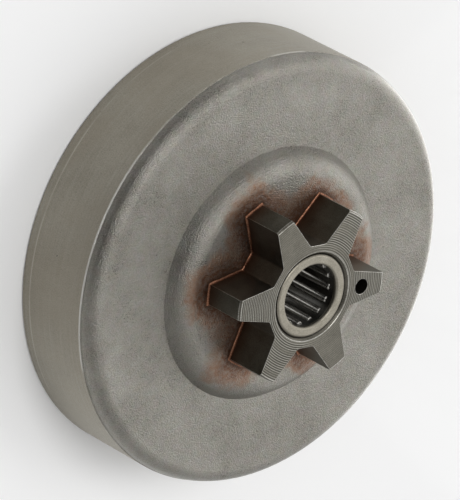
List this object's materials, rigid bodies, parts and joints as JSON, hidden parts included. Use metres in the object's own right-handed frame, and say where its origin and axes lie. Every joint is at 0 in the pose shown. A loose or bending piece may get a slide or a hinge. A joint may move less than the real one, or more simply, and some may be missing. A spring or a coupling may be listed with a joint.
{
  "type": "chainsaw sprocket",
  "caption": "Drawn steel clutch drum with a short toothed spur sprocket brazed to its raised boss and a needle roller bearing in the sprocket's bore.",
  "frame": {"origin": "on the axis, in the plane of the drum's open rim", "axes": "+Z along the axis from the open rim to the sprocket, +X through the tooth that has the small hole"},
  "size_m": [0.0722, 0.0722, 0.0276],
  "materials": {
    "drum_steel": "dull bare pressed steel",
    "sprocket_steel": "dark hardened steel with turned faces",
    "braze_copper": "dull oxidised copper",
    "cup_steel": "satin pale steel",
    "cage_steel": "dark oily steel",
    "needle_steel": "oily polished steel"
  },
  "bodies": {
    "drum_unit": {"drum": "drum_steel", "sprocket": "sprocket_steel", "copper_braze": "braze_copper", "bearing_cup": "cup_steel"},
    "cage": {"bearing_cage": "cage_steel"},
    "roller_01": {"needle_01": "needle_steel"},
    "roller_02": {"needle_02": "needle_steel"},
    "roller_03": {"needle_03": "needle_steel"},
    "roller_04": {"needle_04": "needle_steel"},
    "roller_05": {"needle_05": "needle_steel"},
    "roller_06": {"needle_06": "needle_steel"},
    "roller_07": {"needle_07": "needle_steel"},
    "roller_08": {"needle_08": "needle_steel"},
    "roller_09": {"needle_09": "needle_steel"},
    "roller_10": {"needle_10": "needle_steel"},
    "roller_11": {"needle_11": "needle_steel"},
    "roller_12": {"needle_12": "needle_steel"},
    "roller_13": {"needle_13": "needle_steel"},
    "roller_14": {"needle_14": "needle_steel"},
    "roller_15": {"needle_15": "needle_steel"},
    "roller_16": {"needle_16": "needle_steel"}
  },
  "joints": [
    {"name": "cage_turn", "type": "hinge", "parent": "drum_unit", "child": "cage", "pos_m": [0, 0, 0.0214], "axis": [0, 0, 1], "continuous": true},
    {"name": "roller_01_turn", "type": "hinge", "parent": "cage", "child": "roller_01", "pos_m": [0.00565, 0, 0.0214], "axis": [0, 0, 1], "continuous": true},
    {"name": "roller_02_turn", "type": "hinge", "parent": "cage", "child": "roller_02", "pos_m": [0.00522, 0.00216, 0.0214], "axis": [0, 0, 1], "continuous": true},
    {"name": "roller_03_turn", "type": "hinge", "parent": "cage", "child": "roller_03", "pos_m": [0.004, 0.004, 0.0214], "axis": [0, 0, 1], "continuous": true},
    {"name": "roller_04_turn", "type": "hinge", "parent": "cage", "child": "roller_04", "pos_m": [0.00216, 0.00522, 0.0214], "axis": [0, 0, 1], "continuous": true},
    {"name": "roller_05_turn", "type": "hinge", "parent": "cage", "child": "roller_05", "pos_m": [0, 0.00565, 0.0214], "axis": [0, 0, 1], "continuous": true},
    {"name": "roller_06_turn", "type": "hinge", "parent": "cage", "child": "roller_06", "pos_m": [-0.00216, 0.00522, 0.0214], "axis": [0, 0, 1], "continuous": true},
    {"name": "roller_07_turn", "type": "hinge", "parent": "cage", "child": "roller_07", "pos_m": [-0.004, 0.004, 0.0214], "axis": [0, 0, 1], "continuous": true},
    {"name": "roller_08_turn", "type": "hinge", "parent": "cage", "child": "roller_08", "pos_m": [-0.00522, 0.00216, 0.0214], "axis": [0, 0, 1], "continuous": true},
    {"name": "roller_09_turn", "type": "hinge", "parent": "cage", "child": "roller_09", "pos_m": [-0.00565, 0, 0.0214], "axis": [0, 0, 1], "continuous": true},
    {"name": "roller_10_turn", "type": "hinge", "parent": "cage", "child": "roller_10", "pos_m": [-0.00522, -0.00216, 0.0214], "axis": [0, 0, 1], "continuous": true},
    {"name": "roller_11_turn", "type": "hinge", "parent": "cage", "child": "roller_11", "pos_m": [-0.004, -0.004, 0.0214], "axis": [0, 0, 1], "continuous": true},
    {"name": "roller_12_turn", "type": "hinge", "parent": "cage", "child": "roller_12", "pos_m": [-0.00216, -0.00522, 0.0214], "axis": [0, 0, 1], "continuous": true},
    {"name": "roller_13_turn", "type": "hinge", "parent": "cage", "child": "roller_13", "pos_m": [0, -0.00565, 0.0214], "axis": [0, 0, 1], "continuous": true},
    {"name": "roller_14_turn", "type": "hinge", "parent": "cage", "child": "roller_14", "pos_m": [0.00216, -0.00522, 0.0214], "axis": [0, 0, 1], "continuous": true},
    {"name": "roller_15_turn", "type": "hinge", "parent": "cage", "child": "roller_15", "pos_m": [0.004, -0.004, 0.0214], "axis": [0, 0, 1], "continuous": true},
    {"name": "roller_16_turn", "type": "hinge", "parent": "cage", "child": "roller_16", "pos_m": [0.00522, -0.00216, 0.0214], "axis": [0, 0, 1], "continuous": true}
  ],
  "couplings": [
    {"joint": "roller_01_turn", "follows": "cage_turn", "ratio": -9.7231},
    {"joint": "roller_02_turn", "follows": "cage_turn", "ratio": -9.7231},
    {"joint": "roller_03_turn", "follows": "cage_turn", "ratio": -9.7231},
    {"joint": "roller_04_turn", "follows": "cage_turn", "ratio": -9.7231},
    {"joint": "roller_05_turn", "follows": "cage_turn", "ratio": -9.7231},
    {"joint": "roller_06_turn", "follows": "cage_turn", "ratio": -9.7231},
    {"joint": "roller_07_turn", "follows": "cage_turn", "ratio": -9.7231},
    {"joint": "roller_08_turn", "follows": "cage_turn", "ratio": -9.7231},
    {"joint": "roller_09_turn", "follows": "cage_turn", "ratio": -9.7231},
    {"joint": "roller_10_turn", "follows": "cage_turn", "ratio": -9.7231},
    {"joint": "roller_11_turn", "follows": "cage_turn", "ratio": -9.7231},
    {"joint": "roller_12_turn", "follows": "cage_turn", "ratio": -9.7231},
    {"joint": "roller_13_turn", "follows": "cage_turn", "ratio": -9.7231},
    {"joint": "roller_14_turn", "follows": "cage_turn", "ratio": -9.7231},
    {"joint": "roller_15_turn", "follows": "cage_turn", "ratio": -9.7231},
    {"joint": "roller_16_turn", "follows": "cage_turn", "ratio": -9.7231}
  ]
}
